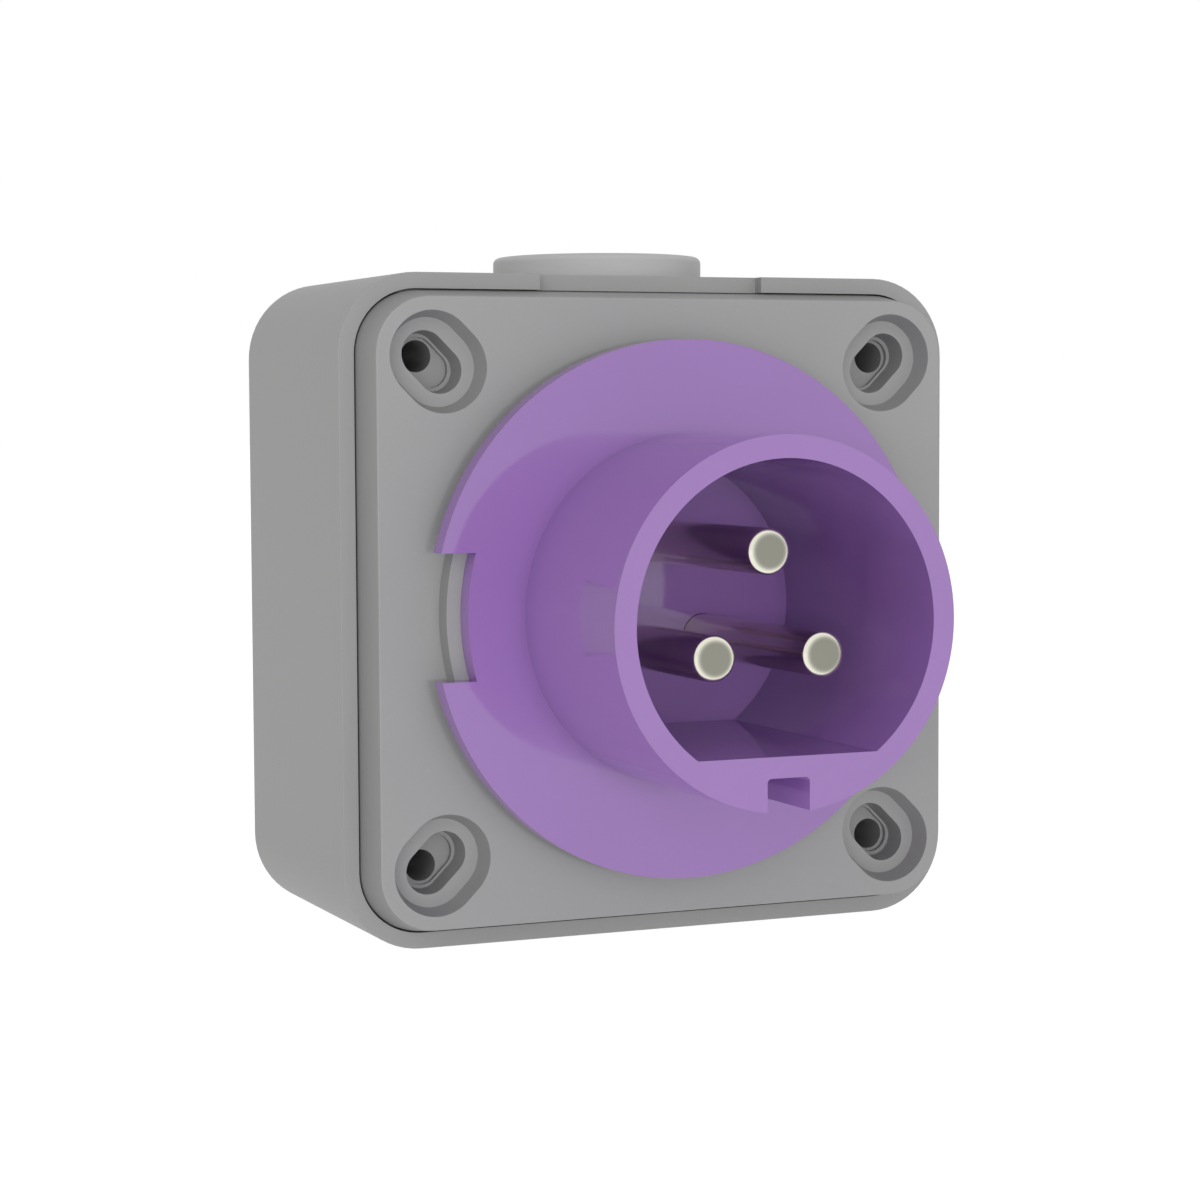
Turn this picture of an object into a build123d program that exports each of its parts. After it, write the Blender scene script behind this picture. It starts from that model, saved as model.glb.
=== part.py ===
from build123d import *
import math
import os

# Wall inlet for extra-low voltage: grey surface box, grey cover, violet inlet with three round pins.
# The origin is the centre of the wall face. The inlet faces -Y, +Z is up, and every depth below
# is a distance in front of the wall.

# Back box
box_width = 91.5
box_depth = 42.1
box_corner_radius = 11.0
box_wall = 2.6
box_back = 3.0
box_edge_chamfer = 0.35
rim_width = 2.2
ledge_width = 3.4
ledge_thickness = 2.4
rim_notch_width = 33.6
rim_notch_depth = 1.9
pillar_inset = 11.25
pillar_radius = 5.4
wall_hole_radius = 2.15
wall_hole_chamfer = 0.5
pillar_web_thickness = 1.8
back_rib_thickness = 1.6
back_rib_height = 4.0
back_rib_spacing = 22.0

# Front cover
cover_gap = 0.25
cover_stand = 5.7
cover_overlap = 2.2
cover_wall = 2.4
cover_face = 3.0
cover_draft = 9.5
cover_edge_radius = 1.2
platform_margin = 2.45
platform_height = 3.0
recess_inset = 12.1
recess_radius = 6.07
recess_half_length = 1.1
recess_depth = 2.8
recess_draft = 17.0
seat_radius = 3.12
seat_half_length = 1.57
seat_depth = 6.1
seat_draft = 6.0
slot_radius = 2.45
slot_half_length = 1.35
cup_wall = 1.6
cup_floor = 0.6
pillar_clearance = 0.15

# Cover gasket
gasket_thickness = 1.0
gasket_side_clearance = 0.15

# Inlet body
flange_overhang = 2.75
flange_thickness = 3.0
flange_edge_chamfer = 0.5
flange_notch_width = 17.0
flange_notch_depth = 4.7
collar_radius = 24.0
collar_wall = 3.0
collar_length = 29.7
collar_edge_chamfer = 0.25
cavity_depth = 41.9
flat_rise = 4.25
key_width = 6.0
key_depth = 4.5
key_corner_radius = 0.6
floor_thickness = 6.0
neck_wall = 4.0
neck_shortfall = 0.3
opening_clearance = 0.3
rear_tube_length = 8.5
rear_tube_wall = 3.2

# Seal between flange and cover
seal_inset = 1.7
seal_width = 1.8
seal_thickness = 1.2
seal_clearance = 0.1

# Clamp ring and its screws
clamp_lip = 3.2
clamp_thickness = 3.0
clamp_bore_clearance = 0.3
clamp_screw_count = 4
clamp_screw_inset = 2.1
clamp_screw_radius = 1.25
clamp_screw_bite = 4.0
clamp_head_radius = 2.1
clamp_head_height = 1.8
screw_hole_clearance = 0.2

# Pins
pin_count = 3
pin_radius = 3.0
pin_circle = 9.0
pin_recess = 5.1
pin_tip_chamfer = 0.6
pin_seat_step = 0.3
pin_shoulder_radius = 4.6
pin_shoulder_length = 3.0
pin_barrel_radius = 3.9
pin_barrel_length = 16.0
wire_bore_radius = 2.2
wire_bore_depth = 11.0
pin_fit_clearance = 0.05

# Terminal screws
terminal_screw_radius = 1.6
terminal_screw_setback = 4.5
terminal_head_radius = 2.5
terminal_head_height = 1.9
terminal_head_stand = 1.1
drive_slot_width = 0.7
drive_slot_depth = 0.9

# Retainer plate behind the pin shoulders
retainer_thickness = 2.6
retainer_side_clearance = 0.3
retainer_screw_inset = 5.8
retainer_screw_radius = 1.2
retainer_screw_bite = 4.0
retainer_head_radius = 2.2
retainer_head_height = 1.7

# Cable entry in the top wall, closed by a screw plug
entry_setback = 19.6
entry_thread_radius = 12.5
entry_thread_length = 10.0
entry_boss_radius = 15.6
plug_head_radius = 15.0
plug_head_height = 3.35
plug_edge_chamfer = 0.6
plug_shank_length = 8.0
plug_shank_wall = 2.2
plug_thread_clearance = 0.2
plug_slot_width = 2.2
plug_slot_length = 18.0
plug_slot_depth = 1.7
entry_seal_radius = 14.3
entry_seal_thickness = 1.0

# Planes in front of the wall that the pieces share
cover_plane = box_depth + cover_stand
platform_plane = cover_plane + platform_height
flange_plane = platform_plane + flange_thickness
collar_plane = flange_plane + collar_length
floor_plane = collar_plane - cavity_depth
carrier_back = floor_plane - floor_thickness
pin_tip_plane = collar_plane - pin_recess
skirt_plane = box_depth - cover_overlap
ledge_plane = skirt_plane - gasket_thickness
cup_back_plane = cover_plane - seat_depth - cup_floor
pillar_plane = cup_back_plane - pillar_clearance
web_plane = ledge_plane - ledge_thickness / 2
clamp_back_plane = cover_plane - clamp_thickness
neck_plane = cover_plane + neck_shortfall
shoulder_back_plane = carrier_back
barrel_end_plane = carrier_back - pin_barrel_length
retainer_back_plane = carrier_back - retainer_thickness

# Widths that follow from the walls
rim_inner_width = box_width - 2 * rim_width
rim_inner_corner = box_corner_radius - rim_width
cover_width = rim_inner_width - 2 * cover_gap
cover_corner = rim_inner_corner - cover_gap
ledge_inner_width = rim_inner_width - 2 * ledge_width
ledge_inner_corner = rim_inner_corner - ledge_width
pillar_pitch = box_width - 2 * pillar_inset
recess_pitch = box_width - 2 * recess_inset
entry_depth = box_depth - entry_setback

# Radii that follow from the collar
collar_bore = collar_radius - collar_wall
rear_bore = collar_radius - rear_tube_wall
flat_height = collar_bore - flat_rise
neck_radius = collar_radius + neck_wall
clamp_outer_radius = neck_radius + clamp_lip
clamp_screw_circle = collar_radius + clamp_screw_inset
retainer_screw_circle = rear_bore - retainer_screw_inset
seal_inner_radius = neck_radius + seal_inset
seal_outer_radius = seal_inner_radius + seal_width
platform_radius = seal_outer_radius + platform_margin
flange_radius = platform_radius + flange_overhang
flange_notch_radius = flange_radius - flange_notch_depth
pin_angles = [90 + 360 / pin_count * i for i in range(pin_count)]
corners = [(-1, 1), (1, 1), (-1, -1), (1, -1)]


def slab(sketch, start, end):
    """Extrude a front-view sketch from one distance in front of the wall to another."""
    return extrude(Plane.XZ.offset(start) * sketch, end - start)


def rod(radius, start, end, x=0.0, z=0.0):
    """A round bar along the depth direction."""
    return slab(Pos(x, z) * Circle(radius), start, end)


def ring(outer, inner, start, end):
    """A flat ring about the inlet's axis."""
    return slab(Circle(outer) - Circle(inner), start, end)


def rounded(width, radius):
    return RectangleRounded(width, width, radius)


def slanted_slot(pitch, radius, half_length, side_x, side_z):
    """A slot in one corner whose length points to the middle of the cover."""
    outline = SlotCenterToCenter(2 * half_length, 2 * radius)
    return Pos(side_x * pitch / 2, side_z * pitch / 2) * Rot(0, 0, 45 * side_x * side_z) * outline


def drafted_slot(radius, half_length, top, bottom, draft, side_x, side_z):
    """A slanted slot between two depths below the cover's face that narrows towards its floor."""
    depth = bottom - top
    floor_radius = radius - depth * math.tan(math.radians(draft))
    outline = slanted_slot(recess_pitch, floor_radius, half_length, side_x, side_z)
    return extrude(Plane.XZ.offset(cover_plane - bottom) * outline, depth, taper=-draft)


def on_circle(radius, angle):
    return radius * math.cos(math.radians(angle)), radius * math.sin(math.radians(angle))


def front_edges(solid):
    return solid.faces().sort_by(Axis.Y)[0].edges()


def entry_rod(radius, low, high):
    """A round bar along the cable entry's vertical axis."""
    return extrude(Plane.XY.offset(low) * Pos(0, -entry_depth) * Circle(radius), high - low)


def entry_tube(outer, inner, low, high):
    return entry_rod(outer, low, high) - entry_rod(inner, low, high)


def back_box():
    shell = slab(rounded(box_width, box_corner_radius), 0, box_depth)
    shell = chamfer(front_edges(shell), box_edge_chamfer)
    inner_width = box_width - 2 * box_wall
    shell -= slab(rounded(inner_width, box_corner_radius - box_wall), box_back, box_depth)
    shell -= slab(rounded(rim_inner_width, rim_inner_corner), ledge_plane, box_depth)
    ledge = rounded(inner_width + box_wall, box_corner_radius - box_wall / 2)
    ledge -= rounded(ledge_inner_width, ledge_inner_corner)
    shell += slab(ledge, ledge_plane - ledge_thickness, ledge_plane)
    shell += corner_pillars()
    shell += back_ribs()
    shell -= slab(Pos(0, box_width / 2) * Rectangle(rim_notch_width, 2 * rim_width),
                  box_depth - rim_notch_depth, box_depth)
    shell += entry_boss()
    shell -= entry_bore()
    for side_x, side_z in corners:
        x, z = side_x * pillar_pitch / 2, side_z * pillar_pitch / 2
        shell -= rod(wall_hole_radius, 0, box_depth, x, z)
        cone = Cone(wall_hole_radius, wall_hole_radius + wall_hole_chamfer, wall_hole_chamfer,
                    align=(Align.CENTER, Align.CENTER, Align.MAX))
        shell -= Pos(x, -pillar_plane, z) * Rot(90, 0, 0) * cone
    return shell


def corner_pillars():
    """Hollow posts for the wall screws, each webbed to the two walls beside it."""
    posts = None
    web_reach = box_width / 2 - box_wall / 2 - pillar_pitch / 2
    for side_x, side_z in corners:
        x, z = side_x * pillar_pitch / 2, side_z * pillar_pitch / 2
        webs = Pos(x + side_x * web_reach / 2, z) * Rectangle(web_reach, pillar_web_thickness)
        webs += Pos(x, z + side_z * web_reach / 2) * Rectangle(pillar_web_thickness, web_reach)
        solid = rod(pillar_radius, box_back / 2, pillar_plane, x, z) + slab(webs, box_back / 2, web_plane)
        posts = solid if posts is None else posts + solid
    return posts


def back_ribs():
    """Low ribs that stiffen the back wall between the pillars."""
    span = box_width - box_wall
    ribs = None
    for offset in (-back_rib_spacing / 2, back_rib_spacing / 2):
        upright = Pos(offset, 0) * Rectangle(back_rib_thickness, span)
        level = Pos(0, offset) * Rectangle(span, back_rib_thickness)
        pair = slab(upright + level, box_back / 2, box_back + back_rib_height)
        ribs = pair if ribs is None else ribs + pair
    return ribs


def entry_boss():
    """Thickening inside the top wall that holds the entry's thread."""
    top = box_width / 2
    low = top - entry_thread_length
    return entry_rod(entry_boss_radius, low, top - box_wall / 2)


def entry_bore():
    top = box_width / 2
    bore = entry_rod(entry_thread_radius, top - entry_thread_length - 1, top + 1)
    return bore + entry_rod(entry_seal_radius, top - entry_seal_thickness, top + 1)


def front_cover():
    skirt = slab(rounded(cover_width, cover_corner), skirt_plane, box_depth)
    raised = extrude(Plane.XZ.offset(box_depth) * rounded(cover_width, cover_corner),
                     cover_stand, taper=cover_draft)
    raised = fillet(front_edges(raised), cover_edge_radius)
    cover = skirt + raised
    inner = rounded(cover_width - 2 * cover_wall, cover_corner - cover_wall)
    cover -= slab(inner, skirt_plane, cover_plane - cover_face)
    cover += rod(platform_radius, cover_plane - cover_face, platform_plane)
    cover -= rod(clamp_outer_radius + clamp_bore_clearance, skirt_plane, cover_plane)
    cover -= rod(neck_radius + opening_clearance, skirt_plane, platform_plane)
    limit = slab(inner, cup_back_plane - 1, cover_plane - cover_face / 2)
    for side_x, side_z in corners:
        wide = slanted_slot(recess_pitch, recess_radius + cup_wall, recess_half_length, side_x, side_z)
        deep = slanted_slot(recess_pitch, seat_radius + cup_wall, seat_half_length, side_x, side_z)
        cup = slab(wide, cover_plane - recess_depth - cup_wall, cover_plane - cover_face / 2) & limit
        cover += cup + slab(deep, cup_back_plane, cover_plane - recess_depth)
    for side_x, side_z in corners:
        slot = slanted_slot(recess_pitch, slot_radius, slot_half_length, side_x, side_z)
        cover -= drafted_slot(recess_radius, recess_half_length, 0, recess_depth, recess_draft,
                              side_x, side_z)
        cover -= drafted_slot(seat_radius, seat_half_length, recess_depth, seat_depth, seat_draft,
                              side_x, side_z)
        cover -= slab(slot, cup_back_plane, cover_plane - recess_depth)
    return cover


def cover_gasket():
    """Flat gasket between the cover's skirt and the ledge in the box."""
    outer = cover_width
    inner = cover_width - 2 * cover_wall
    side = 2 * gasket_side_clearance
    outline = rounded(outer - side, cover_corner - gasket_side_clearance)
    outline -= rounded(inner + side, cover_corner - cover_wall + gasket_side_clearance)
    return slab(outline, ledge_plane, skirt_plane)


def collar():
    """Round shroud with the flat inside and the keyway outside, both at the bottom."""
    tube = rod(collar_radius, floor_plane, collar_plane)
    bore = Circle(collar_bore)
    bore -= Pos(0, -flat_height - collar_radius) * Rectangle(2 * collar_radius, 2 * collar_radius)
    tube -= slab(bore, floor_plane, collar_plane)
    tube = chamfer(front_edges(tube), collar_edge_chamfer)
    key_top = collar_radius - key_depth
    key = RectangleRounded(key_width, 2 * key_depth, key_corner_radius)
    return tube - slab(Pos(0, -key_top - key_depth) * key, flange_plane, collar_plane)


def flange():
    disc = rod(flange_radius, platform_plane, flange_plane)
    disc = chamfer(front_edges(disc), flange_edge_chamfer)
    for side in (-1, 1):
        notch = Pos(side * flange_radius, 0) * Rectangle(flange_radius, flange_notch_width)
        disc -= slab(notch - Circle(flange_notch_radius), platform_plane, flange_plane)
    groove = ring(seal_outer_radius, seal_inner_radius, platform_plane, platform_plane + seal_thickness)
    return disc - groove


def inlet_body():
    """One violet moulding: collar, flange, neck, pin carrier and rear tube."""
    body = flange() + rod(neck_radius, neck_plane, platform_plane)
    body += rod(collar_radius, carrier_back - rear_tube_length, platform_plane)
    body -= rod(collar_bore, floor_plane, flange_plane)
    body += collar()
    body -= rod(rear_bore, carrier_back - rear_tube_length, carrier_back)
    for angle in pin_angles:
        x, z = on_circle(pin_circle, angle)
        pin_seat = pin_radius + pin_seat_step + pin_fit_clearance
        body -= rod(pin_seat, carrier_back, floor_plane, x, z)
        body -= rod(pin_shoulder_radius + pin_fit_clearance, carrier_back,
                    carrier_back + pin_shoulder_length, x, z)
        x, z = on_circle(retainer_screw_circle, angle + 180)
        body -= rod(retainer_screw_radius, carrier_back, carrier_back + retainer_screw_bite, x, z)
    for x, z in clamp_screw_places():
        body -= rod(clamp_screw_radius, neck_plane, neck_plane + clamp_screw_bite, x, z)
    return body


def flange_seal():
    return ring(seal_outer_radius - seal_clearance, seal_inner_radius + seal_clearance,
                platform_plane, platform_plane + seal_thickness)


def clamp_screw_places():
    return [on_circle(clamp_screw_circle, 45 + 360 / clamp_screw_count * i)
            for i in range(clamp_screw_count)]


def clamp_ring():
    body = ring(clamp_outer_radius, collar_radius + clamp_bore_clearance, clamp_back_plane, cover_plane)
    for x, z in clamp_screw_places():
        body -= rod(clamp_screw_radius + screw_hole_clearance, clamp_back_plane, cover_plane, x, z)
    return body


def pan_screw(radius, length, head_radius, head_height):
    """A screw along +Z with its head below the origin and a cross-shaped drive."""
    screw = Cylinder(radius, length, align=(Align.CENTER, Align.CENTER, Align.MIN))
    head = Cylinder(head_radius, head_height, align=(Align.CENTER, Align.CENTER, Align.MAX))
    for turn in (0, 90):
        cut = Box(head_radius * 1.2, drive_slot_width, drive_slot_depth,
                  align=(Align.CENTER, Align.CENTER, Align.MIN))
        head -= Pos(0, 0, -head_height) * Rot(0, 0, turn) * cut
    return screw + head


def clamp_screw(x, z):
    reach = neck_plane - clamp_back_plane + clamp_screw_bite - pin_fit_clearance
    shank = clamp_screw_radius - pin_fit_clearance
    screw = pan_screw(shank, reach, clamp_head_radius, clamp_head_height)
    return Pos(x, -clamp_back_plane, z) * Rot(90, 0, 0) * screw


def contact_pin(angle):
    """Turned pin with a stepped seat, a terminal barrel, its wire bore and a threaded cross hole."""
    shaft = rod(pin_radius, floor_plane, pin_tip_plane)
    shaft = chamfer(front_edges(shaft), pin_tip_chamfer)
    shaft += rod(pin_radius + pin_seat_step, carrier_back, floor_plane)
    shaft += rod(pin_shoulder_radius, carrier_back, carrier_back + pin_shoulder_length)
    shaft += rod(pin_barrel_radius, barrel_end_plane, carrier_back)
    shaft -= rod(wire_bore_radius, barrel_end_plane, barrel_end_plane + wire_bore_depth)
    cross = Cylinder(terminal_screw_radius, 2 * pin_barrel_radius,
                     align=(Align.CENTER, Align.CENTER, Align.MIN))
    shaft -= Pos(0, -terminal_plane(), 0) * Rot(0, 90, 0) * cross
    x, z = on_circle(pin_circle, angle)
    return Pos(x, 0, z) * Rot(0, -angle, 0) * shaft


def terminal_plane():
    return barrel_end_plane + terminal_screw_setback


def terminal_screw(angle):
    """Slotted clamp screw that stands out of its barrel, away from the inlet's axis."""
    reach = pin_barrel_radius + terminal_head_stand - wire_bore_radius / 2
    shank = terminal_screw_radius - pin_fit_clearance
    screw = Cylinder(shank, reach, align=(Align.CENTER, Align.CENTER, Align.MAX))
    head = Cylinder(terminal_head_radius, terminal_head_height,
                    align=(Align.CENTER, Align.CENTER, Align.MIN))
    head -= Pos(0, 0, terminal_head_height) * Box(3 * terminal_head_radius, drive_slot_width,
                                                  2 * drive_slot_depth)
    screw = Pos(0, 0, pin_barrel_radius + terminal_head_stand) * (screw + head)
    placed = Pos(0, -terminal_plane(), 0) * Rot(0, 90, 0) * screw
    x, z = on_circle(pin_circle, angle)
    return Pos(x, 0, z) * Rot(0, -angle, 0) * placed


def retainer_plate():
    """Disc that holds the pin shoulders against the carrier."""
    plate = rod(rear_bore - retainer_side_clearance, retainer_back_plane, carrier_back)
    for angle in pin_angles:
        x, z = on_circle(pin_circle, angle)
        plate -= rod(pin_barrel_radius + pin_fit_clearance, retainer_back_plane, carrier_back, x, z)
        x, z = on_circle(retainer_screw_circle, angle + 180)
        plate -= rod(retainer_screw_radius + screw_hole_clearance, retainer_back_plane,
                     carrier_back, x, z)
    return plate


def retainer_screw(angle):
    reach = retainer_thickness + retainer_screw_bite - pin_fit_clearance
    shank = retainer_screw_radius - pin_fit_clearance
    screw = pan_screw(shank, reach, retainer_head_radius, retainer_head_height)
    x, z = on_circle(retainer_screw_circle, angle + 180)
    return Pos(x, -retainer_back_plane, z) * Rot(90, 0, 0) * screw


def entry_plug():
    """Blanking plug with a coin slot and a hollow threaded shank."""
    top = box_width / 2
    head = entry_rod(plug_head_radius, top, top + plug_head_height)
    head = chamfer(head.edges().sort_by(Axis.Z)[-1], plug_edge_chamfer)
    shank_radius = entry_thread_radius - plug_thread_clearance
    shank = entry_tube(shank_radius, shank_radius - plug_shank_wall, top - plug_shank_length, top)
    slot = Box(plug_slot_length, plug_slot_width, 2 * plug_slot_depth)
    return head + shank - Pos(0, -entry_depth, top + plug_head_height) * slot


def entry_seal():
    top = box_width / 2
    return entry_tube(entry_seal_radius - seal_clearance, entry_thread_radius + seal_clearance,
                      top - entry_seal_thickness, top)


def build():
    nodes = {
        "back_box": back_box(),
        "front_cover": front_cover(),
        "cover_gasket": cover_gasket(),
        "inlet_body": inlet_body(),
        "flange_seal": flange_seal(),
        "clamp_ring": clamp_ring(),
        "retainer_plate": retainer_plate(),
        "entry_plug": entry_plug(),
        "entry_seal": entry_seal(),
    }
    for number, (x, z) in enumerate(clamp_screw_places(), 1):
        nodes[f"clamp_screw_{number}"] = clamp_screw(x, z)
    for number, angle in enumerate(pin_angles, 1):
        nodes[f"pin_{number}"] = contact_pin(angle)
        nodes[f"terminal_screw_{number}"] = terminal_screw(angle)
        nodes[f"retainer_screw_{number}"] = retainer_screw(angle)
    return nodes


os.makedirs("parts", exist_ok=True)
for name, solid in build().items():
    export_step(solid, f"parts/{name}.step")
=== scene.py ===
"""Looks of the wall inlet: a grey surface box with a violet, three-pin, extra-low-voltage inlet."""
import math

import bmesh
import bpy
from mathutils import Matrix, Vector


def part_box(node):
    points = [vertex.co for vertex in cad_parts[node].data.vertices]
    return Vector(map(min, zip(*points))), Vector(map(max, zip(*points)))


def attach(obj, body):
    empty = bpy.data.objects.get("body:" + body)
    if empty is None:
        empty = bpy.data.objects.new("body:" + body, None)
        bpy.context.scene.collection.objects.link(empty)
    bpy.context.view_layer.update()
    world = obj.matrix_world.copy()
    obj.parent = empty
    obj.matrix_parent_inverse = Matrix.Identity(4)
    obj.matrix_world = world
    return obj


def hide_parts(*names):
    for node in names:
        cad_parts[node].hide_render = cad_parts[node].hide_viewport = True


bl_info = {
    "name": "Wall Inlet",
    "version": (1, 0, 0),
    "blender": (4, 5, 0),
    "location": "3D View > Sidebar > Wall Inlet",
    "description": "Dresses the packed wall inlet with its mouldings, pins, threads and finishes",
    "category": "Add Mesh",
}

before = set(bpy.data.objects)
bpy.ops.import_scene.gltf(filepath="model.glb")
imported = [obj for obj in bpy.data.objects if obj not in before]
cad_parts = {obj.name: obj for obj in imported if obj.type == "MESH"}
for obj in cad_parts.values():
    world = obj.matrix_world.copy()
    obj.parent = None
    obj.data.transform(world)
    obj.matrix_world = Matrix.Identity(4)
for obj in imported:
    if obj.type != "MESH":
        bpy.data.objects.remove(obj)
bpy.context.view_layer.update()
BODY = "root"
MM = 0.001

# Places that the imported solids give
BOX_LOW, BOX_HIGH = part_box("back_box")
COVER_LOW, COVER_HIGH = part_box("front_cover")
INLET_LOW, INLET_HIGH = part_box("inlet_body")
PIN_LOW, PIN_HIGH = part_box("pin_1")
PLUG_LOW, PLUG_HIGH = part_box("entry_plug")
CARRIER_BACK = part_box("retainer_plate")[0].y
CLAMP_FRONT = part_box("clamp_ring")[0].y
CORNERS = [(-1, 1), (1, 1), (-1, -1), (1, -1)]

# Facets round a full turn
COLLAR_STEPS = 192
COVER_STEPS = 160
ENTRY_STEPS = 128
PIN_STEPS = 72
POST_STEPS = 64
THREAD_STEPS = 64
WALL_HOLE_STEPS = 48
CROSS_HOLE_STEPS = 40
SCREW_HOLE_STEPS = 32

CORNER_STEPS = 14  # Facets in a corner of a rounded square
PAST = 1.0 * MM  # How far a cut runs past the surface that it opens
SUNK = 0.3 * MM  # How far a joined piece stops short of the far side of its wall
THREAD_SUNK = 0.2 * MM  # How far the thread's ridge goes into the shank
NEAR = 0.3 * MM  # How closely an edge has to lie to be picked by its radius
SAME = 0.01 * MM  # Places closer than this are one depth or one height
WELD = 1e-7  # Points closer than this many metres are merged
CUT_WELD = 2e-6  # The same after the cuts, which leave slivers
SHARP = math.radians(28.0)  # Edges that turn by more than this are rounded


# Sizes and colours that a user would change

def length(name, description, millimetres):
    return bpy.props.FloatProperty(name=name, description=description, default=millimetres * MM,
                                   min=0.0, unit="LENGTH", subtype="DISTANCE", precision=5)


def colour(name, description, value):
    return bpy.props.FloatVectorProperty(name=name, description=description, default=value,
                                         size=3, min=0.0, max=1.0, subtype="COLOR")


def share(name, description, value):
    return bpy.props.FloatProperty(name=name, description=description, default=value,
                                   min=0.0, max=1.0, subtype="FACTOR")


def strength(name, description, value, unit="NONE"):
    return bpy.props.FloatProperty(name=name, description=description, default=value,
                                   min=0.0, unit=unit)


class BoxSizes(bpy.types.PropertyGroup):
    corner_radius: length("Corner radius", "Radius of the box's corners", 11.0)
    wall: length("Wall", "Thickness of the side walls", 2.6)
    back: length("Back", "Thickness of the back wall", 3.0)
    rim: length("Rim", "Width of the rim", 2.2)
    ledge: length("Ledge", "Width of the ledge that carries the gasket", 3.4)
    ledge_drop: length("Ledge drop", "Depth of the ledge below the rim", 3.2)
    ledge_thickness: length("Ledge thickness", "Thickness of the ledge", 2.4)
    post_place: length("Post place", "Offset of each post from the axis", 34.5)
    post_radius: length("Post radius", "Radius of the screw posts", 5.4)
    post_gap: length("Post gap", "Gap between the posts and the cover's cups", 0.15)
    hole_radius: length("Hole radius", "Radius of the wall screw holes", 2.15)
    web: length("Web", "Thickness of the webs beside the posts", 1.8)
    rib: length("Rib", "Thickness of the back ribs", 1.6)
    rib_height: length("Rib height", "Height of the back ribs", 4.0)
    rib_place: length("Rib place", "Offset of each rib from the axis", 11.0)
    notch_width: length("Notch width", "Width of the shallow notch in the rim", 33.6)
    notch_depth: length("Notch depth", "Depth of the notch in the rim", 1.9)
    boss_radius: length("Boss radius", "Radius of the boss behind the entry", 15.6)
    entry_radius: length("Entry radius", "Radius of the cable entry", 12.5)
    entry_length: length("Entry length", "Length of the cable entry", 10.0)
    seal_radius: length("Seal radius", "Radius of the recess for the entry seal", 14.3)
    seal_depth: length("Seal depth", "Depth of the recess for the entry seal", 1.0)
    soft_edge: length("Soft edge", "Rounding of the moulded edges", 0.2)
    rim_edge: length("Rim edge", "Rounding of the rim's outer edge", 0.5)


class CoverSizes(bpy.types.PropertyGroup):
    corner_radius: length("Corner radius", "Radius of the cover's corners", 8.55)
    stand: length("Stand", "How far the cover's face stands out of the box's rim", 5.7)
    overlap: length("Overlap", "How far the skirt goes into the box", 2.2)
    draft: length("Draft", "How much narrower each side is at the face", 0.954)
    edge_radius: length("Edge radius", "Rounding of the edge round the face", 1.2)
    wall: length("Wall", "Thickness of the skirt", 2.4)
    face: length("Face", "Thickness of the face", 3.0)
    platform_radius: length("Platform radius", "Radius of the round platform", 33.95)
    clamp_radius: length("Clamp recess", "Radius of the recess for the clamp ring", 31.5)
    opening_radius: length("Opening radius", "Radius of the hole for the inlet", 28.3)
    recess_place: length("Recess place", "Offset of each screw recess from the axis", 33.65)
    recess_radius: length("Recess radius", "Half the width of the outer recess", 6.07)
    recess_half: length("Recess half length", "Half the straight length of the outer recess", 1.1)
    recess_depth: length("Recess depth", "Depth of the outer recess", 2.8)
    recess_draft: length("Recess draft", "How much the outer recess narrows to its floor", 0.856)
    recess_edge: length("Recess edge", "Rounding of the outer recess's edge", 0.4)
    seat_radius: length("Seat radius", "Half the width of the inner recess", 3.12)
    seat_half: length("Seat half length", "Half the straight length of the inner recess", 1.57)
    seat_depth: length("Seat depth", "Depth of the inner recess", 6.1)
    seat_draft: length("Seat draft", "How much the inner recess narrows to its floor", 0.347)
    slot_radius: length("Slot radius", "Half the width of the screw slot", 2.45)
    slot_half: length("Slot half length", "Half the straight length of the screw slot", 1.35)
    cup_wall: length("Cup wall", "Wall round each recess behind the face", 1.6)
    cup_floor: length("Cup floor", "Floor of each recess", 0.6)
    soft_edge: length("Soft edge", "Rounding of the moulded edges", 0.22)


class InletSizes(bpy.types.PropertyGroup):
    flange_radius: length("Flange radius", "Outer radius of the flange", 36.7)
    flange_thickness: length("Flange thickness", "Thickness of the flange", 3.0)
    notch_width: length("Notch width", "Width of the flange's side notches", 17.0)
    notch_radius: length("Notch radius", "Radius of the notches' inner edge", 32.0)
    collar_radius: length("Collar radius", "Outer radius of the collar", 24.0)
    collar_wall: length("Collar wall", "Thickness of the collar", 3.0)
    flat_height: length("Flat height", "Distance of the flat from the axis", 16.75)
    cavity_depth: length("Cavity depth", "Depth of the socket", 41.9)
    key_width: length("Keyway width", "Width of the keyway", 6.0)
    key_depth: length("Keyway depth", "Depth of the keyway", 4.5)
    key_corner: length("Keyway corner", "Rounding at the keyway's bottom", 0.6)
    neck_radius: length("Neck radius", "Radius of the neck in the cover", 28.0)
    neck_gap: length("Neck gap", "How far the neck stops short of the clamp ring", 0.3)
    rear_wall: length("Rear wall", "Wall of the tube behind the carrier", 3.2)
    seal_inner: length("Seal inner radius", "Inner radius of the seal's groove", 29.7)
    seal_outer: length("Seal outer radius", "Outer radius of the seal's groove", 31.5)
    seal_depth: length("Seal depth", "Depth of the seal's groove", 1.2)
    retainer_circle: length("Retainer circle", "Radius of the retainer screws' circle", 15.0)
    retainer_hole: length("Retainer hole", "Radius of the retainer screws' holes", 1.2)
    clamp_circle: length("Clamp circle", "Radius of the clamp screws' circle", 26.1)
    clamp_hole: length("Clamp hole", "Radius of the clamp screws' holes", 1.25)
    screw_bite: length("Screw bite", "Depth of the screw holes", 4.0)
    flange_edge: length("Flange edge", "Rounding of the flange's outer edge", 0.8)
    pin_edge: length("Pin edge", "Rounding of the floor round each pin", 0.1)
    soft_edge: length("Soft edge", "Rounding of the moulded edges", 0.35)


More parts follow.
